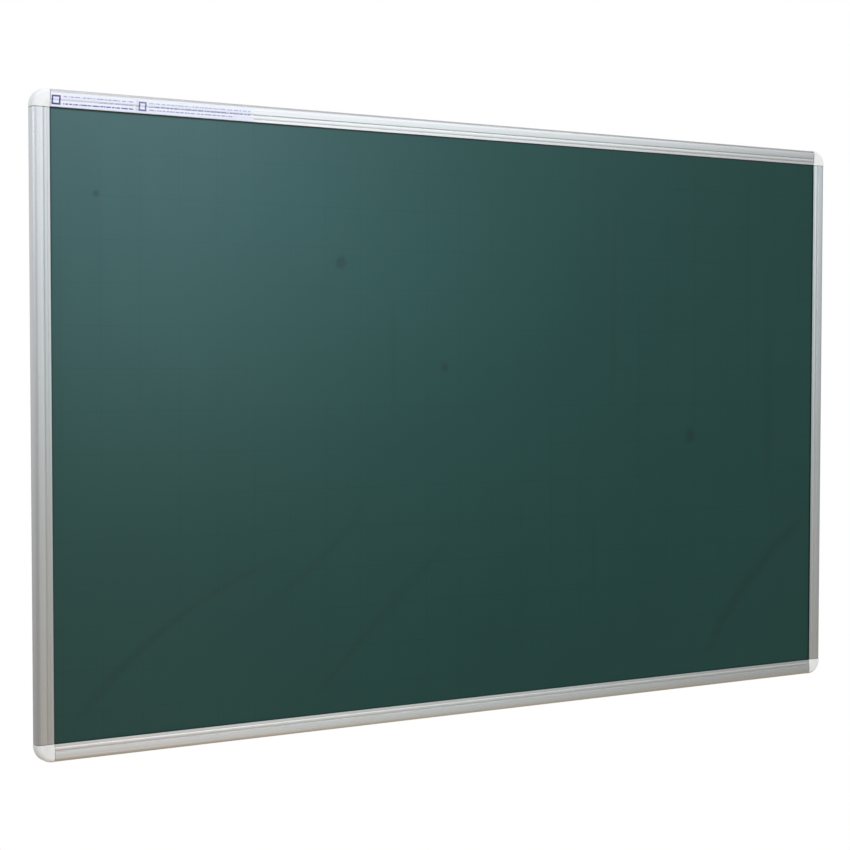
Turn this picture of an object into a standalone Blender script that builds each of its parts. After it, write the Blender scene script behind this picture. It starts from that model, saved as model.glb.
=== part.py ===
"""Framed steel chalkboard that hangs on a wall.

Metres, +Z up. The board's back touches the wall plane y = 0 and its front faces -Y. The origin is
the middle of that back plane.

A section is drawn in two lengths: its reach, counted outwards from the visible surface's edge, and
its height, counted from the wall plane towards the front.
"""

import math

import bmesh
import bpy
from mathutils import Matrix

# Board
BOARD_WIDTH = 1.228
BOARD_HEIGHT = 0.772
RAIL_FACE = 0.021

# Panel, a sandwich of two steel sheets on a fibre core
SHEET_THICKNESS = 0.0004
CORE_THICKNESS = 0.0030
BACKING_THICKNESS = 0.0003
GLUE_LINE = 0.0003
PANEL_OVERLAP = 0.010
PANEL_FIT = 0.0003

# Rail section
OUTER_WALL = 0.0014
INNER_WALL = 0.0012
REAR_RECESS = 0.0021
SLOT_LIP = 0.0015
LIP_BAND = 0.0036
LIP_ROUND = 0.0006
LINE_WIDTH = 0.0006
LINE_DEPTH = 0.0002
BEAD_BAND = 0.0044
BEAD_RISE = 0.0003
GROOVE_WIDTH = 0.0008
STEP_RUN = 0.0006
STEP_RISE = 0.0010
BAND_RISE = 0.0001
EDGE_ROUND = 0.005
SEAM_GAP = 0.0003

# Corner cap
CAP_SIDE_PROUD = 0.0003
CAP_FRONT_PROUD = 0.0003
CAP_CORNER_RADIUS = 0.020
CAP_EDGE_ROUND = 0.005
CAP_WALL = 0.0016
TONGUE_LENGTH = 0.035
TONGUE_FIT = 0.0003
TONGUE_WALL = 0.0016
TONGUE_FLOOR = 0.0028
TONGUE_CHAMFER = 0.001
BOSS_LENGTH = 0.008

# Self-tapping screw, head on the rail and point in the cap's tongue
SCREW_FROM_TIP = 0.013
SCREW_RADIUS = 0.00175
SCREW_LENGTH = 0.0060
SCREW_POINT = 0.0018
SCREW_FIT = 0.0003
HEAD_RADIUS = 0.0032
HEAD_HEIGHT = 0.0016
HEAD_DOME = 0.0007
HEAD_ROUND = 0.0006
RECESS_SPAN = 0.0034
RECESS_WIDTH = 0.0008
RECESS_DEPTH = 0.0012

# Sliding hanger, folded from steel sheet, with a keyhole for a wall screw
HANGER_SHEET = 0.0012
HANGER_WIDTH = 0.036
HANGER_DROP = 0.030
HANGER_CORNER = 0.005
HANGER_FROM_END = 0.193
SLIDE_FIT = 0.0003
KEYHOLE_SLOT_RADIUS = 0.0027
KEYHOLE_HEAD_RADIUS = 0.00525
KEYHOLE_SLOT_DROP = 0.009
KEYHOLE_TRAVEL = 0.011

# Blank labels stuck to the top rail
LABEL_MARGIN = 0.001
LABEL_HEIGHT = 0.0155
LABEL_THICKNESS = 0.00015
LABEL_GLUE = 0.0002
LABEL_START = 0.0006
SHORT_LABEL = 0.106
LABEL_SPACE = 0.001
LONG_LABEL = 0.153

# Smoothness of round shapes, in steps
SMALL_ARC = 3
EDGE_STEPS = 8
BAND_STEPS = 6
TURN_STEPS = 16
HOLE_STEPS = 20

# Visible surface and the corner caps' reach past it
VISIBLE_WIDTH = BOARD_WIDTH - 2 * RAIL_FACE
VISIBLE_HEIGHT = BOARD_HEIGHT - 2 * RAIL_FACE
CAP_SIZE = RAIL_FACE + CAP_SIDE_PROUD

# Heights, from the wall plane forwards
REAR_WALL_FRONT = REAR_RECESS + INNER_WALL
FLANGE_BACK = REAR_WALL_FRONT + HANGER_SHEET + 2 * SLIDE_FIT
FLANGE_FRONT = FLANGE_BACK + INNER_WALL
BACKING_BACK = FLANGE_FRONT + PANEL_FIT
CORE_BACK = BACKING_BACK + BACKING_THICKNESS + GLUE_LINE
SHEET_BACK = CORE_BACK + CORE_THICKNESS + GLUE_LINE
SHEET_FRONT = SHEET_BACK + SHEET_THICKNESS
LIP_BACK = SHEET_FRONT + PANEL_FIT
LIP_FRONT = LIP_BACK + OUTER_WALL
BAND_LEVEL = LIP_FRONT + STEP_RISE
EDGE_CENTRE = BAND_LEVEL - EDGE_ROUND
CAP_FACE = BAND_LEVEL + BAND_RISE + CAP_FRONT_PROUD
CAP_INNER_FACE = LIP_FRONT + CAP_FRONT_PROUD

# Reaches, from the visible surface's edge outwards
GROOVE_FLOOR = PANEL_OVERLAP + PANEL_FIT
CHAMBER_INNER = GROOVE_FLOOR + INNER_WALL
CHAMBER_OUTER = RAIL_FACE - OUTER_WALL
BEAD_END = LIP_BAND + BEAD_BAND
BAND_START = BEAD_END + GROOVE_WIDTH + STEP_RUN
BAND_END = RAIL_FACE - EDGE_ROUND

# Tongue that fills a rail's chamber, and the screw that holds it
TONGUE_INNER = CHAMBER_INNER + TONGUE_FIT
TONGUE_OUTER = CHAMBER_OUTER - TONGUE_FIT
TONGUE_MIDDLE = (TONGUE_INNER + TONGUE_OUTER) / 2
TONGUE_BACK = REAR_WALL_FRONT + TONGUE_FIT
TONGUE_FRONT = EDGE_CENTRE
BEND_CENTRE = CAP_SIZE - CAP_CORNER_RADIUS
SCREW_PLACE = SCREW_FROM_TIP - TONGUE_LENGTH
HEAD_FRONT = REAR_RECESS - SCREW_FIT
HEAD_BACK = HEAD_FRONT - HEAD_HEIGHT
SCREW_TIP = HEAD_FRONT + SCREW_LENGTH
HOLE_RADIUS = SCREW_RADIUS + SCREW_FIT

# Hanger's foot in the slot behind the rail's flange
FOOT_TOP = GROOVE_FLOOR - SLIDE_FIT
FOOT_BACK = REAR_WALL_FRONT + SLIDE_FIT
FOOT_FRONT = FOOT_BACK + HANGER_SHEET
NECK_BOTTOM = INNER_WALL + SLIDE_FIT
NECK_TOP = NECK_BOTTOM + HANGER_SHEET
PLATE_FRONT = REAR_RECESS - SLIDE_FIT
PLATE_BACK = PLATE_FRONT - HANGER_SHEET

# Overshoot of a cutter past the face it opens
CUTTER_MARGIN = 0.001


def clear_scene():
    for obj in list(bpy.data.objects):
        bpy.data.objects.remove(obj, do_unlink=True)


def material(name, colour, roughness, metallic):
    made = bpy.data.materials.new(name)
    made.use_nodes = True
    shader = made.node_tree.nodes["Principled BSDF"]
    shader.inputs["Base Color"].default_value = (*colour, 1)
    shader.inputs["Roughness"].default_value = roughness
    shader.inputs["Metallic"].default_value = metallic
    return made


def arc(centre, radius, start, end, steps):
    """Points of a circular arc between two angles in degrees, both ends included."""
    angles = [math.radians(start + (end - start) * i / steps) for i in range(steps + 1)]
    return [(centre[0] + radius * math.cos(a), centre[1] + radius * math.sin(a)) for a in angles]


def crown(start, end, level, rise, steps):
    """Points of a shallow arch over a level stretch, both ends included."""
    shares = [i / steps for i in range(steps + 1)]
    return [(start + (end - start) * t, level + 4 * rise * t * (1 - t)) for t in shares]


def rectangle(low_a, high_a, low_b, high_b):
    return [(low_a, low_b), (high_a, low_b), (high_a, high_b), (low_a, high_b)]


def add_prism(bm, outlines, start, end, place):
    """Adds the solid between two depths of an outline, whose further outlines are holes.

    place turns a point's two outline lengths and its depth into X, Y and Z.
    """
    edges = []
    for outline in outlines:
        ring = [bm.verts.new(place(a, b, start)) for a, b in outline]
        edges += [bm.edges.new((ring[i - 1], ring[i])) for i in range(len(ring))]
    filled = bmesh.ops.triangle_fill(bm, use_beauty=True, edges=edges)
    near = [item for item in filled["geom"] if isinstance(item, bmesh.types.BMFace)]
    raised = bmesh.ops.extrude_face_region(bm, geom=near, use_keep_orig=True)["geom"]
    far = [item for item in raised if isinstance(item, bmesh.types.BMVert)]
    travel = place(0, 0, end)
    home = place(0, 0, start)
    bmesh.ops.translate(bm, verts=far, vec=[t - h for t, h in zip(travel, home)])


def along_x(reach, height, depth):
    """A rail's section runs along X."""
    return (depth, -height, reach)


def across(x, z, height):
    """An outline seen from the front has its depth along -Y."""
    return (x, -height, z)


def finished_mesh(bm, name, smooth_angle=30):
    bmesh.ops.recalc_face_normals(bm, faces=bm.faces)
    mesh = bpy.data.meshes.new(name)
    bm.to_mesh(mesh)
    bm.free()
    mesh.shade_smooth()
    mesh.set_sharp_from_angle(angle=math.radians(smooth_angle))
    return mesh


def place_object(name, mesh, surface, parent, location=(0, 0, 0), turn=0):
    """Makes a named piece, turned in degrees about Y."""
    obj = bpy.data.objects.new(name, mesh)
    bpy.context.scene.collection.objects.link(obj)
    obj.parent = parent
    obj.location = location
    obj.rotation_euler = (0, math.radians(turn), 0)
    flat_shading = obj.modifiers.new("flat faces stay flat", "WEIGHTED_NORMAL")
    flat_shading.keep_sharp = True
    if not mesh.materials:
        mesh.materials.append(surface)
    return obj


def place_empty(name, parent=None, location=(0, 0, 0), turn=0):
    empty = bpy.data.objects.new(name, None)
    bpy.context.scene.collection.objects.link(empty)
    empty.empty_display_size = 0.05
    empty.parent = parent
    empty.location = location
    empty.rotation_euler = (0, math.radians(turn), 0)
    return empty


def combined(name, base, *steps):
    """The mesh left by Boolean steps, each an operation and the mesh that it uses."""
    body = bpy.data.objects.new(name, base)
    bpy.context.scene.collection.objects.link(body)
    helpers = []
    for operation, mesh in steps:
        helper = bpy.data.objects.new(mesh.name, mesh)
        bpy.context.scene.collection.objects.link(helper)
        helper.hide_render = True
        helper.display_type = "WIRE"
        helpers.append(helper)
        modifier = body.modifiers.new(mesh.name, "BOOLEAN")
        modifier.operation = operation
        modifier.solver = "EXACT"
        modifier.object = helper
    graph = bpy.context.evaluated_depsgraph_get()
    result = bpy.data.meshes.new_from_object(body.evaluated_get(graph))
    for obj in [body, *helpers]:
        bpy.data.objects.remove(obj, do_unlink=True)
    result.name = name
    return result


def cutter_mesh(name, prisms):
    """Cutters that stand apart from each other, as one mesh of (outline, start, end)."""
    bm = bmesh.new()
    for outline, start, end in prisms:
        add_prism(bm, [outline], start, end, across)
    return finished_mesh(bm, name)


def screw_hole(x, z, depth):
    circle = arc((x, z), HOLE_RADIUS, 0, 360, HOLE_STEPS)[:-1]
    return (circle, -CUTTER_MARGIN, depth)


# Panel


def sheet_mesh(name, back, thickness):
    """A flat layer that reaches under the lips of all four rails."""
    half_width = VISIBLE_WIDTH / 2 + PANEL_OVERLAP
    half_height = VISIBLE_HEIGHT / 2 + PANEL_OVERLAP
    bm = bmesh.new()
    outline = rectangle(-half_width, half_width, -half_height, half_height)
    add_prism(bm, [outline], back, back + thickness, across)
    return finished_mesh(bm, name)


def make_panel(board):
    green = material("chalk_enamel", (0.045, 0.105, 0.095), 0.42, 0.0)
    fibre = material("fibreboard", (0.36, 0.25, 0.15), 0.85, 0.0)
    zinc = material("galvanised_steel", (0.52, 0.54, 0.55), 0.45, 1.0)
    layers = (
        ("writing_sheet", SHEET_BACK, SHEET_THICKNESS, green),
        ("core_board", CORE_BACK, CORE_THICKNESS, fibre),
        ("back_sheet", BACKING_BACK, BACKING_THICKNESS, zinc),
    )
    for name, back, thickness, surface in layers:
        place_object(name, sheet_mesh(name, back, thickness), surface, board)


# Frame rails


def rail_front():
    """The rail's front from its lip to its outer side, as (reach, height) points."""
    lip = arc((LIP_ROUND, LIP_FRONT - LIP_ROUND), LIP_ROUND, 180, 90, SMALL_ARC)
    line = [(LIP_BAND - LINE_WIDTH / 2, LIP_FRONT), (LIP_BAND, LIP_FRONT - LINE_DEPTH)]
    bead = crown(LIP_BAND + LINE_WIDTH / 2, BEAD_END, LIP_FRONT, BEAD_RISE, BAND_STEPS)
    groove = [
        (BEAD_END + LINE_WIDTH / 2, LIP_FRONT - LINE_DEPTH),
        (BEAD_END + GROOVE_WIDTH, LIP_FRONT - LINE_DEPTH),
    ]
    band = crown(BAND_START, BAND_END, BAND_LEVEL, BAND_RISE, BAND_STEPS)
    edge = arc((BAND_END, EDGE_CENTRE), EDGE_ROUND, 90, 0, EDGE_STEPS)
    return lip + line + bead + groove + band + edge[1:]


def rail_back():
    """The rest of the rail's outline, from its outer foot to the lip's underside."""
    slot_mouth = GROOVE_FLOOR - SLOT_LIP
    return [
        (RAIL_FACE, 0),
        (CHAMBER_OUTER, 0),
        (CHAMBER_OUTER, REAR_RECESS),
        (slot_mouth, REAR_RECESS),
        (slot_mouth, REAR_WALL_FRONT),
        (GROOVE_FLOOR, REAR_WALL_FRONT),
        (GROOVE_FLOOR, FLANGE_BACK),
        (INNER_WALL, FLANGE_BACK),
        (INNER_WALL, REAR_RECESS),
        (0, REAR_RECESS),
        (0, FLANGE_FRONT),
        (GROOVE_FLOOR, FLANGE_FRONT),
        (GROOVE_FLOOR, LIP_BACK),
        (0, LIP_BACK),
    ]


def rail_chamber():
    """The hollow that takes a cap's tongue, with the outer wall's thickness kept round its bend."""
    bend = arc((BAND_END, EDGE_CENTRE), EDGE_ROUND - OUTER_WALL, 0, 90, EDGE_STEPS)
    corners = [(CHAMBER_INNER, BAND_LEVEL - OUTER_WALL), (CHAMBER_INNER, REAR_WALL_FRONT)]
    return [(CHAMBER_OUTER, REAR_WALL_FRONT), *bend, *corners]


def rail_mesh(name, visible_length):
    half = visible_length / 2 - SEAM_GAP
    bm = bmesh.new()
    add_prism(bm, [rail_front() + rail_back(), rail_chamber()], -half, half, along_x)
    solid = finished_mesh(bm, name)
    screw_x = visible_length / 2 + SCREW_PLACE
    depth = REAR_WALL_FRONT + CUTTER_MARGIN
    holes = [screw_hole(side * screw_x, TONGUE_MIDDLE, depth) for side in (-1, 1)]
    return combined(name, solid, ("DIFFERENCE", cutter_mesh(name + "_holes", holes)))


def make_rails(board):
    aluminium = material("anodised_aluminium", (0.60, 0.62, 0.64), 0.38, 1.0)
    top = VISIBLE_HEIGHT / 2
    side = VISIBLE_WIDTH / 2
    rails = (
        ("top_rail", VISIBLE_WIDTH, (0, 0, top), 0),
        ("right_rail", VISIBLE_HEIGHT, (side, 0, 0), 90),
        ("bottom_rail", VISIBLE_WIDTH, (0, 0, -top), 180),
        ("left_rail", VISIBLE_HEIGHT, (-side, 0, 0), -90),
    )
    for name, length, location, turn in rails:
        place_object(name, rail_mesh(name, length), aluminium, board, location, turn)


# Corner caps and their screws


def cap_outline(inset):
    """The cap's outer edge from one seam to the other, drawn in by an inset."""
    reach = CAP_SIZE - inset
    bend = arc((BEND_CENTRE, BEND_CENTRE), CAP_CORNER_RADIUS - inset, 90, 0, EDGE_STEPS)
    return [(0, reach), *bend, (reach, 0)]


def cap_rings():
    """The cap's front as outlines with a height, from its outer side in to its inner corner."""
    rings = []
    for i in range(BAND_STEPS + 1):
        angle = math.pi / 2 * i / BAND_STEPS
        inset = CAP_EDGE_ROUND * (1 - math.cos(angle))
        height = CAP_FACE - CAP_EDGE_ROUND * (1 - math.sin(angle))
        rings.append([(x, z, height) for x, z in cap_outline(inset)])
    face = cap_outline(CAP_EDGE_ROUND)
    for i in range(BAND_STEPS - 1, 0, -1):
        share = i / BAND_STEPS
        reach = min(1, share * (CAP_SIZE - CAP_EDGE_ROUND) / BAND_START)
        blend = reach * reach * (3 - 2 * reach)
        height = CAP_INNER_FACE + (CAP_FACE - CAP_INNER_FACE) * blend
        rings.append([(x * share, z * share, height) for x, z in face])
    return rings


def cap_shell():
    """The cap's solid block with its domed front, before it is cored out."""
    bm = bmesh.new()
    base = [bm.verts.new(across(x, z, 0)) for x, z in cap_outline(0)]
    rings = [base] + [[bm.verts.new(across(*point)) for point in ring] for ring in cap_rings()]
    for lower, upper in zip(rings, rings[1:]):
        for i in range(len(base) - 1):
            bm.faces.new((lower[i], lower[i + 1], upper[i + 1], upper[i]))
    front = bm.verts.new(across(0, 0, CAP_INNER_FACE))
    back = bm.verts.new(across(0, 0, 0))
    for i in range(len(base) - 1):
        bm.faces.new((rings[-1][i], rings[-1][i + 1], front))
    bm.faces.new([ring[0] for ring in rings] + [front, back])
    bm.faces.new([ring[-1] for ring in rings] + [front, back])
    bm.faces.new([*base, back])
    return finished_mesh(bm, "cap_block")


def tongue_outline():
    """A tongue seen from the front, lying along X, with its tip chamfered and its root in the cap."""
    tip = -TONGUE_LENGTH
    return [
        (tip + TONGUE_CHAMFER, TONGUE_INNER),
        (BEND_CENTRE, TONGUE_INNER),
        (BEND_CENTRE, TONGUE_OUTER),
        (tip + TONGUE_CHAMFER, TONGUE_OUTER),
        (tip, TONGUE_OUTER - TONGUE_CHAMFER),
        (tip, TONGUE_INNER + TONGUE_CHAMFER),
    ]


def swapped(outline):
    """The same outline for the tongue that lies along Z."""
    return [(z, x) for x, z in outline]


def tongue_pockets():
    """Hollows in the front of a tongue, on either side of the screw's boss."""
    low = TONGUE_INNER + TONGUE_WALL
    high = TONGUE_OUTER - TONGUE_WALL
    stretches = (
        (TONGUE_WALL - TONGUE_LENGTH, SCREW_PLACE - BOSS_LENGTH / 2),
        (SCREW_PLACE + BOSS_LENGTH / 2, -TONGUE_WALL),
    )
    floor = TONGUE_BACK + TONGUE_FLOOR
    top = TONGUE_FRONT + CUTTER_MARGIN
    return [(rectangle(start, end, low, high), floor, top) for start, end in stretches]


def corner_pocket():
    """A hollow inside the cap's bend, with the cap's wall left round it."""
    low = TONGUE_INNER + TONGUE_WALL
    radius = CAP_CORNER_RADIUS - CAP_WALL
    start = math.degrees(math.acos((low - BEND_CENTRE) / radius))
    bend = arc((BEND_CENTRE, BEND_CENTRE), radius, start, 90 - start, EDGE_STEPS)
    return [(low, low), *bend]


def cap_cutters():
    """The panel's corner, the two pockets that core out the back, and both tongues' hollows."""
    panel_corner = rectangle(-CUTTER_MARGIN, GROOVE_FLOOR, -CUTTER_MARGIN, GROOVE_FLOOR)
    inner_pocket = rectangle(CAP_WALL, GROOVE_FLOOR, CAP_WALL, GROOVE_FLOOR)
    pilot = screw_hole(SCREW_PLACE, TONGUE_MIDDLE, SCREW_TIP + SCREW_FIT)
    along = [*tongue_pockets(), pilot]
    upright = [(swapped(outline), start, end) for outline, start, end in along]
    return [
        (panel_corner, FLANGE_FRONT, LIP_BACK),
        (inner_pocket, -CUTTER_MARGIN, FLANGE_FRONT - CAP_WALL),
        (corner_pocket(), -CUTTER_MARGIN, TONGUE_FRONT - CAP_WALL),
        *along,
        *upright,
    ]


def cap_mesh():
    outline = tongue_outline()
    along = cutter_mesh("tongue_along", [(outline, TONGUE_BACK, TONGUE_FRONT)])
    upright = cutter_mesh("tongue_upright", [(swapped(outline), TONGUE_BACK, TONGUE_FRONT)])
    cutters = cutter_mesh("cap_cutters", cap_cutters())
    steps = (("UNION", along), ("UNION", upright), ("DIFFERENCE", cutters))
    return combined("corner_cap", cap_shell(), *steps)


def screw_profile():
    """The screw's turned half section, as (radius, height) points from the head's back."""
    dome_edge = HEAD_BACK + HEAD_DOME
    rim = arc((HEAD_RADIUS - HEAD_ROUND, dome_edge), HEAD_ROUND, -90, 0, SMALL_ARC)
    return [
        (0, HEAD_BACK),
        (HEAD_RADIUS / 2, HEAD_BACK),
        *rim,
        (HEAD_RADIUS, HEAD_FRONT),
        (SCREW_RADIUS, HEAD_FRONT),
        (SCREW_RADIUS, SCREW_TIP - SCREW_POINT),
        (0, SCREW_TIP),
    ]


def turned_mesh(name, profile):
    bm = bmesh.new()
    verts = [bm.verts.new((radius, -height, 0)) for radius, height in profile]
    edges = [bm.edges.new(pair) for pair in zip(verts, verts[1:])]
    turn = {"cent": (0, 0, 0), "axis": (0, 1, 0), "angle": 2 * math.pi, "steps": TURN_STEPS}
    bmesh.ops.spin(bm, geom=verts + edges, use_merge=True, **turn)
    bmesh.ops.remove_doubles(bm, verts=bm.verts, dist=0.00001)
    return finished_mesh(bm, name)


def cross_outline():
    """A cross recess seen from behind the screw."""
    long = RECESS_SPAN / 2
    short = RECESS_WIDTH / 2
    arm = [(long, -short), (long, short), (short, short)]
    points = []
    for _ in range(4):
        points += arm
        arm = [(-z, x) for x, z in arm]
    return points


def screw_mesh():
    recess = [(cross_outline(), -CUTTER_MARGIN, HEAD_BACK + RECESS_DEPTH)]
    shape = turned_mesh("screw_blank", screw_profile())
    return combined("corner_screw", shape, ("DIFFERENCE", cutter_mesh("recess", recess)))


def make_corners(board):
    plastic = material("cap_plastic", (0.72, 0.73, 0.72), 0.45, 0.0)
    steel = material("zinc_plated_steel", (0.62, 0.63, 0.62), 0.35, 1.0)
    cap = cap_mesh()
    screw = screw_mesh()
    corners = (
        ("top_right", 1, 1, 0),
        ("bottom_right", 1, -1, 90),
        ("bottom_left", -1, -1, 180),
        ("top_left", -1, 1, -90),
    )
    for name, right, up, turn in corners:
        location = (right * VISIBLE_WIDTH / 2, 0, up * VISIBLE_HEIGHT / 2)
        corner = place_empty("corner_" + name, board, location, turn)
        place_object("corner_cap_" + name, cap, plastic, corner)
        places = ((SCREW_PLACE, TONGUE_MIDDLE), (TONGUE_MIDDLE, SCREW_PLACE))
        for number, (x, z) in enumerate(places, 1):
            place_object(f"corner_screw_{name}_{number}", screw, steel, corner, (x, 0, z))


# Sliding hangers


def hanger_section():
    """The folded sheet, as (reach, height) points: foot in the slot, neck, and plate behind."""
    inside = SLIDE_FIT
    outside = SLIDE_FIT + HANGER_SHEET
    bottom = -HANGER_DROP
    return [
        (FOOT_TOP, FOOT_BACK),
        (FOOT_TOP, FOOT_FRONT),
        *arc((NECK_BOTTOM + outside, FOOT_FRONT - outside), outside, 90, 180, SMALL_ARC + 1),
        *arc((NECK_BOTTOM - inside, PLATE_FRONT + inside), inside, 0, -90, SMALL_ARC),
        (bottom, PLATE_FRONT),
        (bottom, PLATE_BACK),
        *arc((NECK_TOP - outside, PLATE_BACK + outside), outside, -90, 0, SMALL_ARC + 1),
        *arc((NECK_TOP + inside, FOOT_BACK - inside), inside, 180, 90, SMALL_ARC),
    ]


def keyhole_outline():
    """Slot above a round opening, about the middle of the slot's upper end."""
    drop = math.sqrt(KEYHOLE_HEAD_RADIUS**2 - KEYHOLE_SLOT_RADIUS**2)
    meet = math.degrees(math.atan2(drop, KEYHOLE_SLOT_RADIUS))
    slot = arc((0, 0), KEYHOLE_SLOT_RADIUS, 0, 180, EDGE_STEPS)
    opening = arc((0, -KEYHOLE_TRAVEL), KEYHOLE_HEAD_RADIUS, 180 - meet, 360 + meet, HOLE_STEPS)
    return slot + opening


def round_plate_corners(bm):
    """Rounds the two lower corners of the hanger's plate."""
    lowest = min(vert.co.z for vert in bm.verts)
    upright = []
    for edge in bm.edges:
        first, second = edge.verts
        at_bottom = abs(first.co.z - lowest) < 1e-6 and abs(second.co.z - lowest) < 1e-6
        if at_bottom and abs(first.co.x - second.co.x) < 1e-6:
            upright.append(edge)
    bmesh.ops.bevel(bm, geom=upright, offset=HANGER_CORNER, segments=EDGE_STEPS - 2, profile=0.5,
                    affect="EDGES")


def hanger_mesh(foot_reach, foot_height):
    """The hanger about the middle of its foot, which lies on its slide axis."""
    bm = bmesh.new()
    add_prism(bm, [hanger_section()], -HANGER_WIDTH / 2, HANGER_WIDTH / 2, along_x)
    round_plate_corners(bm)
    blank = finished_mesh(bm, "hanger_blank")
    outline = [(x, z - KEYHOLE_SLOT_DROP) for x, z in keyhole_outline()]
    front = PLATE_FRONT + CUTTER_MARGIN
    keyhole = cutter_mesh("keyhole", [(outline, PLATE_BACK - CUTTER_MARGIN, front)])
    mesh = combined("hanger", blank, ("DIFFERENCE", keyhole))
    mesh.transform(Matrix.Translation((0, foot_height, -foot_reach)))
    return mesh


def make_hangers(board):
    steel = material("hanger_steel", (0.55, 0.56, 0.56), 0.40, 1.0)
    foot_reach = (FOOT_TOP + NECK_BOTTOM) / 2
    foot_height = (FOOT_BACK + FOOT_FRONT) / 2
    mesh = hanger_mesh(foot_reach, foot_height)
    place = VISIBLE_WIDTH / 2 - HANGER_FROM_END
    for name, side in (("hanger_left", -1), ("hanger_right", 1)):
        location = (side * place, -foot_height, VISIBLE_HEIGHT / 2 + foot_reach)
        place_object(name, mesh, steel, board, location)


# Labels


def label_section():
    """A label's strip over the top rail's front, bridging its lines and the foot of its step."""
    top = min(LABEL_MARGIN + LABEL_HEIGHT, BAND_END)
    bead = crown(LIP_BAND + LINE_WIDTH / 2, BEAD_END, LIP_FRONT, BEAD_RISE, BAND_STEPS)
    band = crown(BAND_START, BAND_END, BAND_LEVEL, BAND_RISE, BAND_STEPS)
    covered = [(LABEL_MARGIN, LIP_FRONT), *bead, *[point for point in band if point[0] < top]]
    share = (top - BAND_START) / (BAND_END - BAND_START)
    covered.append((top, BAND_LEVEL + 4 * BAND_RISE * share * (1 - share)))
    under = [(reach, height + LABEL_GLUE) for reach, height in covered]
    over = [(reach, height + LABEL_THICKNESS) for reach, height in reversed(under)]
    return under + over


def make_labels(board):
    paper = material("label_film", (0.86, 0.86, 0.88), 0.55, 0.0)
    left_edge = -VISIBLE_WIDTH / 2 + LABEL_START
    labels = (
        ("label_short", left_edge, SHORT_LABEL),
        ("label_long", left_edge + SHORT_LABEL + LABEL_SPACE, LONG_LABEL),
    )
    for name, start, length in labels:
        bm = bmesh.new()
        add_prism(bm, [label_section()], 0, length, along_x)
        location = (start, 0, VISIBLE_HEIGHT / 2)
        place_object(name, finished_mesh(bm, name), paper, board, location)


def main():
    clear_scene()
    board = place_empty("board")
    make_panel(board)
    make_rails(board)
    make_corners(board)
    make_hangers(board)
    make_labels(board)
    bpy.context.view_layer.update()


main()
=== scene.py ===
"""Looks of the framed chalkboard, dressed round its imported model.

Metres, +Z up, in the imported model's own frame. The board hangs with its back in the plane y = 0 and
its face towards -Y. Colours are linear red, green and blue, and a pair of them runs from a
surface's darker patches to its lighter ones.
"""

import math

import bmesh
import bpy
from mathutils import Matrix, Vector

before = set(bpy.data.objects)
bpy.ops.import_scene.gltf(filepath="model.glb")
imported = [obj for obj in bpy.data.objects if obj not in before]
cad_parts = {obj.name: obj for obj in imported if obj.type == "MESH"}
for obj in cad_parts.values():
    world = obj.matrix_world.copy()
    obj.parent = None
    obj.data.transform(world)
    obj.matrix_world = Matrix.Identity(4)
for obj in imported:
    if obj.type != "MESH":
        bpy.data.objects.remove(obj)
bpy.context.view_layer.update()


def linear(*srgb):
    """Linear colour from 8-bit sRGB values."""
    shares = [value / 255 for value in srgb]
    return [s / 12.92 if s <= 0.04045 else ((s + 0.055) / 1.055) ** 2.4 for s in shares]


# Camera, at the photograph's viewing angle
IMAGE_SIZE = 850
SENSOR = 36.0
CAMERA_PLACE = (-1.4223, -2.0887, 0.0747)
CAMERA_AZIMUTH = 32.632
CAMERA_ELEVATION = -2.483
CAMERA_ROLL = 0.05
FOCAL_PIXELS = 1919.9
SHIFT_RIGHT = -4.83
SHIFT_DOWN = 21.07

# Soft boxes: name, place, size and brightness
LAMPS = (
    ("key high", (0.70, -2.80, 1.20), 0.8, (7.1, 6.7, 7.4)),
    ("key low", (0.70, -2.80, 0.40), 0.8, (2.4, 2.8, 2.9)),
    ("window", (2.30, -2.80, 2.10), 0.8, (12.2, 12.2, 12.4)),
    ("left front", (-1.90, -2.60, 1.35), 0.7, (7.0, 7.3, 7.9)),
    ("left", (-2.60, -0.60, 0.85), 0.7, (6.9, 7.4, 8.0)),
    ("right low", (1.50, -2.80, 0.40), 0.8, (0.6, 1.4, 1.3)),
    ("low", (0.70, -2.80, -0.40), 0.8, (0.55, 0.45, 0.28)),
    ("overhead", (-0.40, -0.80, 1.90), 1.0, (2.6, 2.6, 2.65)),
    ("warm bounce", (0.00, -1.40, -1.10), 0.7, (0.70, 0.38, 0.22)),
)

# World: the even light, what gloss sees of the room in front of the board and of its floor, and
# between which parts of a direction the floor fades upwards (z) and the room fades to the white
# behind the board (y)
ROOM_LIGHT = (0.62, 0.64, 0.64)
ROOM_IN_GLOSS = (0.28, 0.28, 0.27)
FLOOR_IN_GLOSS = (0.28, 0.255, 0.225)
WHITE = (1, 1, 1)
BELOW_FROM = -0.14
BELOW_TO = 0.03
BEHIND_FROM = 0.05
BEHIND_TO = 0.30

# Floor
FLOOR_TONES = ((0.52, 0.42, 0.31), (0.56, 0.46, 0.35))
FLOOR_RADIUS = 2.4
FLOOR_LEVEL = -1.25
FLOOR_SEGMENTS = 96

# Board's visible surface, its level in front of the wall, and its printed grid: pitch, width of a
# line, how far off its middle a line is full and gone, its strength, and where the first lines are
VISIBLE_WIDTH = 1.186
VISIBLE_HEIGHT = 0.730
SHEET_LEVEL = 0.0109
GRID_PITCH = 0.050
GRID_LINE = 0.0007
GRID_FULL_TO = 0.3 * GRID_LINE
GRID_GONE_AT = 0.7 * GRID_LINE
GRID_STRENGTH = 0.32
GRID_FROM_LEFT = 0.0114
GRID_FROM_TOP = 0.0475

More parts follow.
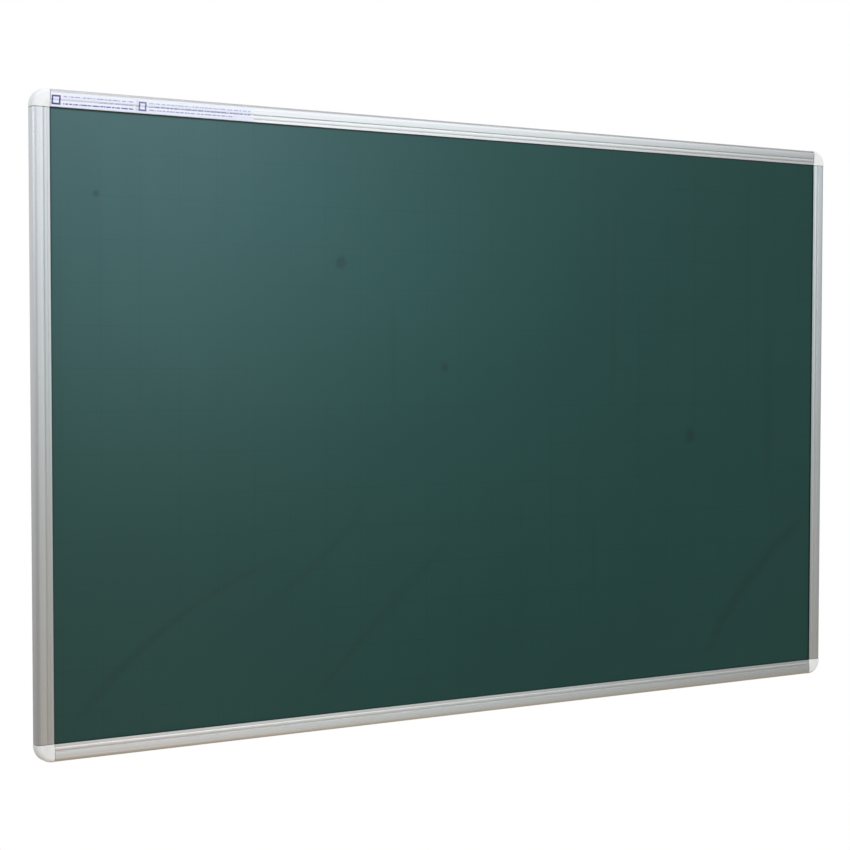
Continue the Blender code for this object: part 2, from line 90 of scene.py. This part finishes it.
# Enamel, the width of the painted shade along the rails, and how much marks and the painted shade
# darken and roughen
ENAMEL_TONES = (linear(15, 50, 46), linear(18, 55, 50))
ENAMEL_GRAIN = linear(28, 62, 56)
ENAMEL_DARK = linear(8, 20, 18)
ENAMEL_GLOSS = (0.60, 0.95, 1.0)
EDGE_SHADE = 0.0028
MARKS_AND_SHADE_DARKENING = 0.7
MARK_ROUGHENING = 0.10
EDGE_ROUGHENING = 0.30

# Dull spots (x, z, radius), upright streaks (x, width, z range) and wipe arcs (centre x, centre z,
# radius, width, x range), with how strong each kind is and over what length its ends fade. A spot's
# core and the raggedness of its outline are shares of its radius.
DULL_SPOTS = (
    (-0.537, 0.270, 0.006),
    (-0.209, 0.200, 0.010),
    (-0.055, 0.070, 0.008),
    (0.362, -0.027, 0.013),
)
SPOT_STRENGTH = 0.8
SPOT_CORE = 0.2
SPOT_RAGGEDNESS = 0.3
DULL_STREAKS = (
    (-0.132, 0.008, 0.00, 0.16),
    (0.191, 0.007, -0.26, -0.12),
    (0.224, 0.009, 0.03, 0.32),
    (0.468, 0.008, 0.15, 0.365),
    (0.507, 0.010, -0.11, 0.21),
)
STREAK_STRENGTH = 0.26
STREAK_FADE = 0.05
WIPE_ARCS = (
    (-0.135, -0.710, 0.566, 0.009, -0.58, -0.28),
    (-0.473, 0.113, 0.367, 0.008, -0.33, -0.17),
    (1.046, -1.536, 1.758, 0.010, -0.26, -0.03),
    (0.927, -0.697, 0.644, 0.018, 0.37, 0.61),
)
ARC_STRENGTH = 0.36
ARC_FADE_LEFT = 0.04
ARC_FADE_RIGHT = 0.06

# Rails, the painted shade in their inner corners by the sheet and the darkening at their cut ends:
# from where to where each grows or fades, outwards from the visible surface, in front of the sheet
# and inwards from the rail's end
ALUMINIUM_TONES = ((0.62, 0.635, 0.65), (0.68, 0.695, 0.71))
ALUMINIUM_SMUDGE = (0.57, 0.58, 0.58)
ALUMINIUM_DARK = (0.025, 0.05, 0.05)
SHADE_OUTWARDS = (0.0003, 0.0009)
SHADE_IN_FRONT = (0.0020, 0.0013)
DARK_FROM_END = (0.0003, 0.0011)
DARK_AT_END = 0.55

# Labels' film and its generic print: tick boxes (x range, strength) and dashed rows (x range, z,
# strength), each with how far off its line's middle the ink is full and gone
FILM_TONES = ((0.66, 0.68, 0.79), (0.70, 0.72, 0.83))
PRINT_INK = linear(62, 55, 132)
TICK_BOXES = ((-0.5912, -0.5802, 1.0), (-0.4838, -0.4738, 0.85))
TICK_BOX_LEVEL = 0.3734
TICK_BOX_HEIGHT = 0.0108
TICK_BOX_LINE = 0.0020
TICK_BOX_FULL_TO = 0.4 * TICK_BOX_LINE
TICK_BOX_GONE_AT = 0.6 * TICK_BOX_LINE
LABEL_ROWS = (
    (-0.5768, -0.4905, 0.3776, 0.60),
    (-0.5330, -0.4905, 0.3737, 0.40),
    (-0.5768, -0.4905, 0.3694, 1.00),
    (-0.4705, -0.3370, 0.3773, 0.55),
    (-0.4705, -0.3370, 0.3735, 0.65),
    (-0.4705, -0.3600, 0.3697, 0.60),
)
ROW_FULL_TO = 0.00045
ROW_GONE_AT = 0.0009

# Other finishes
CAP_TONES = ((0.715, 0.72, 0.715), (0.755, 0.76, 0.755))
FIBRE_TONES = ((0.24, 0.15, 0.085), (0.44, 0.31, 0.19))
SCREW_TONES = ((0.55, 0.56, 0.55), (0.70, 0.71, 0.70))
BACK_SHEET_TONES = ((0.53, 0.55, 0.56), (0.60, 0.62, 0.63))
HANGER_TONES = ((0.50, 0.51, 0.51), (0.62, 0.63, 0.63))

# Widths of the softened edges
RAIL_EDGE = 0.00012
CAP_EDGE = 0.0003
SCREW_EDGE = 0.0001
HANGER_EDGE = 0.0002
EDGE_SEGMENTS = 2
SHARP_ANGLE = 35
WELD_DISTANCE = 0.000002

# Range in which nearly all values of a noise lie
NOISE_LOW = 0.3
NOISE_HIGH = 0.7

# Sockets of a colour Mix node, by number because its socket names repeat
MIX_SHARE, MIX_A, MIX_B, MIX_RESULT = 0, 6, 7, 2


def add_node(tree, kind, **settings):
    """Adds a node to a tree, with its settings."""
    node = tree.nodes.new(kind)
    for key, value in settings.items():
        setattr(node, key, value)
    return node


class Nodes:
    """Short calls for building a material's node tree."""

    def __init__(self, name):
        self.material = bpy.data.materials.new(name)
        self.material.use_nodes = True
        self.tree = self.material.node_tree
        self.tree.nodes.clear()
        self.shader = self.add("ShaderNodeBsdfPrincipled")
        output = self.add("ShaderNodeOutputMaterial")
        self.link(self.shader.outputs[0], output.inputs["Surface"])
        self.place = self.add("ShaderNodeTexCoord").outputs["Object"]

    def add(self, kind, **settings):
        return add_node(self.tree, kind, **settings)

    def link(self, source, target):
        self.tree.links.new(source, target)

    def put(self, socket, value):
        """Sets a socket to a plain value, or links it to another node's output."""
        if isinstance(value, bpy.types.NodeSocket):
            self.link(value, socket)
        elif hasattr(value, "__len__") and len(value) == 3 and socket.type == "RGBA":
            socket.default_value = (*value, 1)
        else:
            socket.default_value = value

    def set(self, **values):
        """Sets the shader's sockets, named with underscores for spaces."""
        for key, value in values.items():
            self.put(self.shader.inputs[key.replace("_", " ")], value)

    def scaled(self, factors):
        """The surface's point, scaled by its own factor along each axis."""
        node = self.add("ShaderNodeMapping")
        self.link(self.place, node.inputs["Vector"])
        node.inputs["Scale"].default_value = factors
        return node.outputs[0]

    def noise(self, scale, source=None, detail=3.0, roughness=0.55):
        node = self.add("ShaderNodeTexNoise")
        self.link(source or self.place, node.inputs["Vector"])
        node.inputs["Scale"].default_value = scale
        node.inputs["Detail"].default_value = detail
        node.inputs["Roughness"].default_value = roughness
        return node.outputs["Fac"]

    def stretched(self, scales, **settings):
        """A noise with its own scale along each axis."""
        return self.noise(1.0, self.scaled(scales), **settings)

    def cells(self, scale):
        """A random colour for each cell of a crystal pattern."""
        node = self.add("ShaderNodeTexVoronoi", feature="F1")
        self.link(self.place, node.inputs["Vector"])
        node.inputs["Scale"].default_value = scale
        return node.outputs["Color"]

    def math(self, operation, a, b=0.0):
        node = self.add("ShaderNodeMath", operation=operation)
        self.put(node.inputs[0], a)
        self.put(node.inputs[1], b)
        return node.outputs[0]

    def times(self, a, b):
        return self.math("MULTIPLY", a, b)

    def larger(self, a, b):
        return self.math("MAXIMUM", a, b)

    def away(self, value, centre):
        """How far a value lies from a centre."""
        return self.math("ABSOLUTE", self.math("SUBTRACT", value, centre))

    def span(self, value, low, high, to_low=0.0, to_high=1.0, smooth=False):
        """Maps a value's range to another, clamped."""
        node = self.add("ShaderNodeMapRange", clamp=True)
        if smooth:
            node.interpolation_type = "SMOOTHSTEP"
        for key, item in zip(("Value", "From Min", "From Max", "To Min", "To Max"),
                             (value, low, high, to_low, to_high)):
            self.put(node.inputs[key], item)
        return node.outputs[0]

    def vary(self, noise, to_low=0.0, to_high=1.0):
        """Maps a noise's usual range to another, clamped."""
        return self.span(noise, NOISE_LOW, NOISE_HIGH, to_low, to_high)

    def between(self, value, low, high, rise, fall):
        """1 from low to high, with a slope of its own length inside each end, and 0 outside."""
        opening = self.span(value, low, low + rise)
        closing = self.span(value, high - fall, high, 1.0, 0.0)
        return self.times(opening, closing)

    def mix(self, share, a, b):
        """Colour between a and b."""
        node = self.add("ShaderNodeMix", data_type="RGBA")
        self.put(node.inputs[MIX_SHARE], share)
        self.put(node.inputs[MIX_A], a)
        self.put(node.inputs[MIX_B], b)
        return node.outputs[MIX_RESULT]

    def parts(self, source=None):
        """X, Y and Z of the surface's point, or of another vector."""
        node = self.add("ShaderNodeSeparateXYZ")
        self.link(source or self.place, node.inputs[0])
        return node.outputs

    def distance(self, point):
        """Distance of the surface's point from a fixed point."""
        node = self.add("ShaderNodeVectorMath", operation="DISTANCE")
        self.link(self.place, node.inputs[0])
        node.inputs[1].default_value = point
        return node.outputs["Value"]

    def bump(self, height, distance, strength, below=None):
        node = self.add("ShaderNodeBump")
        node.inputs["Strength"].default_value = strength
        node.inputs["Distance"].default_value = distance
        self.link(height, node.inputs["Height"])
        if below is not None:
            self.link(below, node.inputs["Normal"])
        return node.outputs[0]


# Materials


def grid_lines(m):
    """1 on the printed grid's lines and 0 between them, with soft edges."""
    x, _, z = m.parts()
    start_x = -VISIBLE_WIDTH / 2 + GRID_FROM_LEFT
    start_z = VISIBLE_HEIGHT / 2 - GRID_FROM_TOP
    marks = []
    for value, start in ((x, start_x), (z, start_z)):
        turns = m.math("DIVIDE", m.math("SUBTRACT", value, start), GRID_PITCH)
        off = m.times(m.math("PINGPONG", turns, 0.5), GRID_PITCH)
        marks.append(m.span(off, GRID_FULL_TO, GRID_GONE_AT, 1.0, 0.0))
    return m.larger(*marks)


def painted_edge_shade(m):
    """Painted shade of the rails' lips on the sheet: 1 at the visible surface's edge, falling to 0 a
    little inside it.
    """
    x, _, z = m.parts()
    side = m.math("SUBTRACT", VISIBLE_WIDTH / 2, m.math("ABSOLUTE", x))
    level = m.math("SUBTRACT", VISIBLE_HEIGHT / 2, m.math("ABSOLUTE", z))
    return m.span(m.math("MINIMUM", side, level), 0.0, EDGE_SHADE, 1.0, 0.0, smooth=True)


def inner_shade_and_dark_ends(m, across, along):
    """Strength of the painted shade in a rail's inner corner with the sheet, and of the darkening at
    its cut ends.
    """
    places = dict(zip("xyz", m.parts()))
    half = {"x": VISIBLE_WIDTH / 2, "z": VISIBLE_HEIGHT / 2}
    off_edge = m.math("SUBTRACT", m.math("ABSOLUTE", places[across]), half[across])
    # Painted shade on the lip's wall next to the sheet
    inner = m.span(off_edge, *SHADE_OUTWARDS, 1.0, 0.0)
    deep = m.span(places["y"], *(-SHEET_LEVEL - reach for reach in SHADE_IN_FRONT))
    from_end = m.math("SUBTRACT", half[along], m.math("ABSOLUTE", places[along]))
    # Darker towards the rail's cut ends
    end = m.span(from_end, *DARK_FROM_END, DARK_AT_END, 0.0)
    return m.larger(m.times(inner, deep), end)


def dull_marks(m):
    """Strength of the dull spots and streaks and of the long arcs that a wipe leaves."""
    wobble = m.noise(scale=60.0, detail=2.0)
    total = 0.0
    for x, z, radius in DULL_SPOTS:
        ragged = m.vary(wobble, -radius * SPOT_RAGGEDNESS, radius * SPOT_RAGGEDNESS)
        off = m.math("ADD", m.distance((x, -SHEET_LEVEL, z)), ragged)
        spot = m.span(off, radius * SPOT_CORE, radius, SPOT_STRENGTH, 0.0, smooth=True)
        total = m.larger(total, spot)
    along, _, level = m.parts()
    for x, width, low, high in DULL_STREAKS:
        streak = m.span(m.away(along, x), 0.0, width, STREAK_STRENGTH, 0.0, smooth=True)
        ends = m.between(level, low, high, STREAK_FADE, STREAK_FADE)
        total = m.larger(total, m.times(streak, ends))
    for x, z, radius, width, start, end in WIPE_ARCS:
        off = m.away(m.distance((x, -SHEET_LEVEL, z)), radius)
        band = m.span(off, 0.0, width, ARC_STRENGTH, 0.0, smooth=True)
        ends = m.between(along, start, end, ARC_FADE_LEFT, ARC_FADE_RIGHT)
        total = m.larger(total, m.times(band, ends))
    return total


def enamel():
    """Matt green enamel: fine tooth, printed grid, wipe marks, painted shade along the rails and a
    faint waviness of the sheet.
    """
    m = Nodes("chalk_enamel_look")
    lines = grid_lines(m)
    # edge: painted shade of the lips along the sheet's border
    edge = painted_edge_shade(m)
    marks = dull_marks(m)
    cloud = m.noise(scale=2.2, detail=4.0, roughness=0.6)
    drags = m.stretched(scales=(38.0, 1.0, 4.5))
    grain = m.noise(scale=900.0, detail=2.0)
    ground = m.mix(m.vary(cloud), *ENAMEL_TONES)
    ground = m.mix(m.vary(grain, 0.0, 0.3), ground, ENAMEL_GRAIN)
    colour = m.mix(m.times(lines, GRID_STRENGTH), ground, ENAMEL_DARK)
    # Dull marks darken the enamel, and so does the painted shade along the rails
    colour = m.mix(m.times(m.larger(edge, marks), MARKS_AND_SHADE_DARKENING), colour, ENAMEL_DARK)
    rough = m.vary(drags, 0.315, 0.335)
    rough = m.math("ADD", rough, m.times(marks, MARK_ROUGHENING))
    rough = m.math("ADD", rough, m.times(edge, EDGE_ROUGHENING))
    wave = m.bump(m.noise(scale=2.6, detail=1.0), distance=0.0008, strength=0.5)
    peel = m.bump(m.noise(scale=240.0, detail=1.0), distance=0.00006, strength=0.25, below=wave)
    tooth = m.bump(grain, distance=0.00004, strength=0.35, below=peel)
    m.set(Base_Color=colour, Roughness=rough, Normal=tooth)
    m.set(Specular_IOR_Level=0.6, Specular_Tint=ENAMEL_GLOSS)
    return m.material


def anodised(name, along):
    """Satin anodised aluminium with fine die lines along the extrusion, painted shade in its inner
    corner by the sheet and darker cut ends.
    """
    across = {"x": "z", "z": "x"}[along]
    fine = {"x": (3.0, 2600.0, 2600.0), "z": (2600.0, 2600.0, 3.0)}[along]
    broad = {"x": (1.2, 500.0, 500.0), "z": (500.0, 500.0, 1.2)}[along]
    turn = {"x": 0.25, "z": 0.0}[along]
    m = Nodes(name)
    lines = m.stretched(scales=fine, detail=2.0)
    bands = m.stretched(scales=broad, detail=2.0)
    smudge = m.noise(scale=9.0, detail=5.0, roughness=0.65)
    colour = m.mix(m.vary(bands), *ALUMINIUM_TONES)
    colour = m.mix(m.span(smudge, 0.55, 0.8, 0.0, 0.25), colour, ALUMINIUM_SMUDGE)
    # Painted shade in the inner corner by the sheet, and darker cut ends
    colour = m.mix(inner_shade_and_dark_ends(m, across, along), colour, ALUMINIUM_DARK)
    m.set(Base_Color=colour, Metallic=1.0, Roughness=m.vary(lines, 0.48, 0.54))
    m.set(Anisotropic=0.5, Anisotropic_Rotation=turn)
    m.set(Normal=m.bump(lines, distance=0.00003, strength=0.3))
    return m.material


def moulded():
    """Light grey moulded plastic, faintly see-through, with a fine mould texture."""
    m = Nodes("cap_plastic_look")
    cloud = m.noise(scale=60.0)
    grain = m.noise(scale=1500.0, detail=2.0)
    colour = m.mix(m.span(cloud, 0.35, 0.65), *CAP_TONES)
    m.set(Base_Color=colour, Roughness=m.vary(grain, 0.36, 0.46))
    m.set(Normal=m.bump(grain, distance=0.00004, strength=0.3))
    m.set(Subsurface_Weight=0.25, Subsurface_Scale=0.002, Subsurface_Radius=(1.0, 1.0, 1.0))
    return m.material


def label_print(m):
    """Strength of the labels' generic print: empty tick boxes and dashed rows to write on."""
    x, _, z = m.parts()
    off_z = m.math("SUBTRACT", m.away(z, TICK_BOX_LEVEL), TICK_BOX_HEIGHT / 2)
    total = 0.0
    for left, right, strength in TICK_BOXES:
        off_x = m.math("SUBTRACT", m.away(x, (left + right) / 2), (right - left) / 2)
        off_line = m.math("ADD", m.larger(off_x, off_z), TICK_BOX_LINE / 2)
        off_line = m.math("ABSOLUTE", off_line)
        box = m.span(off_line, TICK_BOX_FULL_TO, TICK_BOX_GONE_AT, strength, 0.0)
        total = m.larger(total, box)
    dash = m.span(m.stretched(scales=(420.0, 0.0, 260.0), detail=1.0), 0.42, 0.50)
    for left, right, row, strength in LABEL_ROWS:
        rule = m.span(m.away(z, row), ROW_FULL_TO, ROW_GONE_AT, strength, 0.0)
        ends = m.times(m.math("GREATER_THAN", x, left), m.math("LESS_THAN", x, right))
        total = m.larger(total, m.times(rule, m.times(ends, dash)))
    return total


def film():
    """Pale label film with a slight ripple and its generic print."""
    m = Nodes("label_film_look")
    cloud = m.noise(scale=90.0)
    colour = m.mix(m.vary(cloud), *FILM_TONES)
    colour = m.mix(label_print(m), colour, PRINT_INK)
    m.set(Base_Color=colour, Roughness=m.vary(cloud, 0.34, 0.42))
    m.set(Normal=m.bump(m.noise(scale=160.0, detail=2.0), distance=0.0001, strength=0.2))
    return m.material


def galvanised(name, tones, scale, roughness):
    """Zinc-coated sheet with its crystal spangle."""
    m = Nodes(name)
    tone = m.parts(m.cells(scale))[0]
    blur = m.noise(scale=scale * 6, detail=4.0)
    sheen = m.math("ADD", m.times(tone, 0.6), m.times(blur, 0.4))
    m.set(Base_Color=m.mix(tone, *tones), Metallic=1.0)
    m.set(Roughness=m.span(sheen, 0.2, 0.8, roughness - 0.07, roughness + 0.07))
    m.set(Normal=m.bump(blur, distance=0.00005, strength=0.2))
    return m.material


def fibre():
    """Raw edge of the fibre core."""
    m = Nodes("fibreboard_look")
    strands = m.stretched(scales=(500.0, 2600.0, 500.0), detail=6.0, roughness=0.7)
    m.set(Base_Color=m.mix(m.vary(strands), *FIBRE_TONES), Roughness=0.85)
    m.set(Normal=m.bump(strands, distance=0.0002, strength=0.5))
    return m.material


def bright_zinc():
    """Plated screw steel with turned marks."""
    m = Nodes("zinc_plated_look")
    wear = m.noise(scale=900.0, detail=4.0)
    m.set(Base_Color=m.mix(m.vary(wear), *SCREW_TONES), Metallic=1.0)
    m.set(Roughness=m.vary(wear, 0.26, 0.38))
    m.set(Normal=m.bump(wear, distance=0.00003, strength=0.3))
    return m.material


def dress(node, material, edge=0):
    """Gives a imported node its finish, with its sharp edges softened by modifiers."""
    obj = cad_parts[node]
    obj.data.materials.clear()
    obj.data.materials.append(material)
    weld = obj.modifiers.new("joined points", "WELD")
    weld.merge_threshold = WELD_DISTANCE
    if edge:
        bevel = obj.modifiers.new("soft edges", "BEVEL")
        bevel.width = edge
        bevel.segments = EDGE_SEGMENTS
        bevel.limit_method = "ANGLE"
        bevel.angle_limit = math.radians(SHARP_ANGLE)
        bevel.use_clamp_overlap = True
        bevel.harden_normals = False
    obj.data.shade_smooth()
    smooth = obj.modifiers.new("smooth shading", "WEIGHTED_NORMAL")
    smooth.keep_sharp = True


def dress_all():
    along_x = anodised("anodised_look_x", "x")
    along_z = anodised("anodised_look_z", "z")
    for node in ("top_rail", "bottom_rail"):
        dress(node, along_x, RAIL_EDGE)
    for node in ("left_rail", "right_rail"):
        dress(node, along_z, RAIL_EDGE)
    dress("writing_sheet", enamel())
    dress("core_board", fibre())
    zinc_sheet = galvanised("back_sheet_look", BACK_SHEET_TONES, scale=170.0, roughness=0.42)
    dress("back_sheet", zinc_sheet)
    plastic = moulded()
    zinc = bright_zinc()
    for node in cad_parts:
        if node.startswith("corner_cap"):
            dress(node, plastic, CAP_EDGE)
        elif node.startswith("corner_screw"):
            dress(node, zinc, SCREW_EDGE)
    steel = galvanised("hanger_steel_look", HANGER_TONES, scale=260.0, roughness=0.36)
    for node in ("hanger_left", "hanger_right"):
        dress(node, steel, HANGER_EDGE)
    paper = film()
    for node in ("label_short", "label_long"):
        dress(node, paper)


# Studio


def add_camera():
    """A camera turned by its azimuth, elevation and roll, with its picture shifted by pixels."""
    azimuth = math.radians(CAMERA_AZIMUTH)
    elevation = math.radians(CAMERA_ELEVATION)
    roll = math.radians(CAMERA_ROLL)
    flat = math.cos(elevation)
    forward = Vector((math.sin(azimuth) * flat, math.cos(azimuth) * flat, math.sin(elevation)))
    level = Vector((math.cos(azimuth), -math.sin(azimuth), 0))
    upright = level.cross(forward)
    right = math.cos(roll) * level + math.sin(roll) * upright
    up = -math.sin(roll) * level + math.cos(roll) * upright
    turn = Matrix((right, up, -forward)).transposed()
    data = bpy.data.cameras.new("camera")
    data.sensor_width = SENSOR
    data.lens = FOCAL_PIXELS * SENSOR / IMAGE_SIZE
    data.shift_x = -SHIFT_RIGHT / IMAGE_SIZE
    data.shift_y = SHIFT_DOWN / IMAGE_SIZE
    camera = bpy.data.objects.new("camera", data)
    camera.matrix_world = Matrix.Translation(CAMERA_PLACE) @ turn.to_4x4()
    bpy.context.scene.collection.objects.link(camera)
    bpy.context.scene.camera = camera


def add_lamp(name, place, size, brightness):
    """A square soft box that faces the board's middle, with the power that its brightness needs."""
    data = bpy.data.lights.new(name, "AREA")
    data.shape = "SQUARE"
    data.size = size
    strongest = max(brightness)
    data.energy = math.pi * size ** 2 * strongest
    data.color = [value / strongest for value in brightness]
    lamp = bpy.data.objects.new(name, data)
    lamp.location = place
    lamp.rotation_euler = (-Vector(place)).to_track_quat("-Z", "Y").to_euler()
    bpy.context.scene.collection.objects.link(lamp)


def add_world():
    """White to the camera, and to gloss behind the board; a plain soft room in front of it."""
    world = bpy.data.worlds.new("studio")
    bpy.context.scene.world = world
    world.use_nodes = True
    tree = world.node_tree
    tree.nodes.clear()

    def shade(colour):
        node = add_node(tree, "ShaderNodeBackground")
        node.inputs["Color"].default_value = (*colour, 1)
        node.inputs["Strength"].default_value = 1.0
        return node.outputs[0]

    def blend(share, a, b):
        node = add_node(tree, "ShaderNodeMixShader")
        for socket, source in zip(node.inputs, (share, a, b)):
            tree.links.new(source, socket)
        return node.outputs[0]

    path = add_node(tree, "ShaderNodeLightPath")
    parts = add_node(tree, "ShaderNodeSeparateXYZ")
    direction = add_node(tree, "ShaderNodeTexCoord").outputs["Generated"]
    tree.links.new(direction, parts.inputs[0])

    def ramp(axis, low, high):
        """0 to 1 as a direction's part along an axis goes from low to high."""
        node = add_node(tree, "ShaderNodeMapRange", clamp=True)
        node.inputs["From Min"].default_value = low
        node.inputs["From Max"].default_value = high
        tree.links.new(parts.outputs[axis], node.inputs["Value"])
        return node.outputs[0]

    seen = add_node(tree, "ShaderNodeMath", operation="MAXIMUM")
    tree.links.new(path.outputs["Is Camera Ray"], seen.inputs[0])
    tree.links.new(path.outputs["Is Transmission Ray"], seen.inputs[1])
    white = shade(WHITE)
    level = blend(ramp("Y", BEHIND_FROM, BEHIND_TO), shade(ROOM_IN_GLOSS), white)
    gloss = blend(ramp("Z", BELOW_FROM, BELOW_TO), shade(FLOOR_IN_GLOSS), level)
    lit = blend(path.outputs["Is Glossy Ray"], shade(ROOM_LIGHT), gloss)
    out = add_node(tree, "ShaderNodeOutputWorld")
    tree.links.new(blend(seen.outputs[0], lit, white), out.inputs["Surface"])


def add_floor():
    """A plain pale floor, about as far below the board as under a hung one."""
    bm = bmesh.new()
    bmesh.ops.create_circle(bm, cap_ends=True, segments=FLOOR_SEGMENTS, radius=FLOOR_RADIUS)
    mesh = bpy.data.meshes.new("floor")
    bm.to_mesh(mesh)
    bm.free()
    floor = bpy.data.objects.new("floor", mesh)
    floor.location = (0, 0, FLOOR_LEVEL)
    bpy.context.scene.collection.objects.link(floor)
    m = Nodes("floor_look")
    m.set(Base_Color=m.mix(m.vary(m.noise(scale=4.0)), *FLOOR_TONES), Roughness=0.8)
    mesh.materials.append(m.material)


def add_studio():
    add_world()
    add_floor()
    for lamp in LAMPS:
        add_lamp(*lamp)


add_camera()
add_studio()
dress_all()
bpy.context.scene.view_settings.view_transform = "Standard"
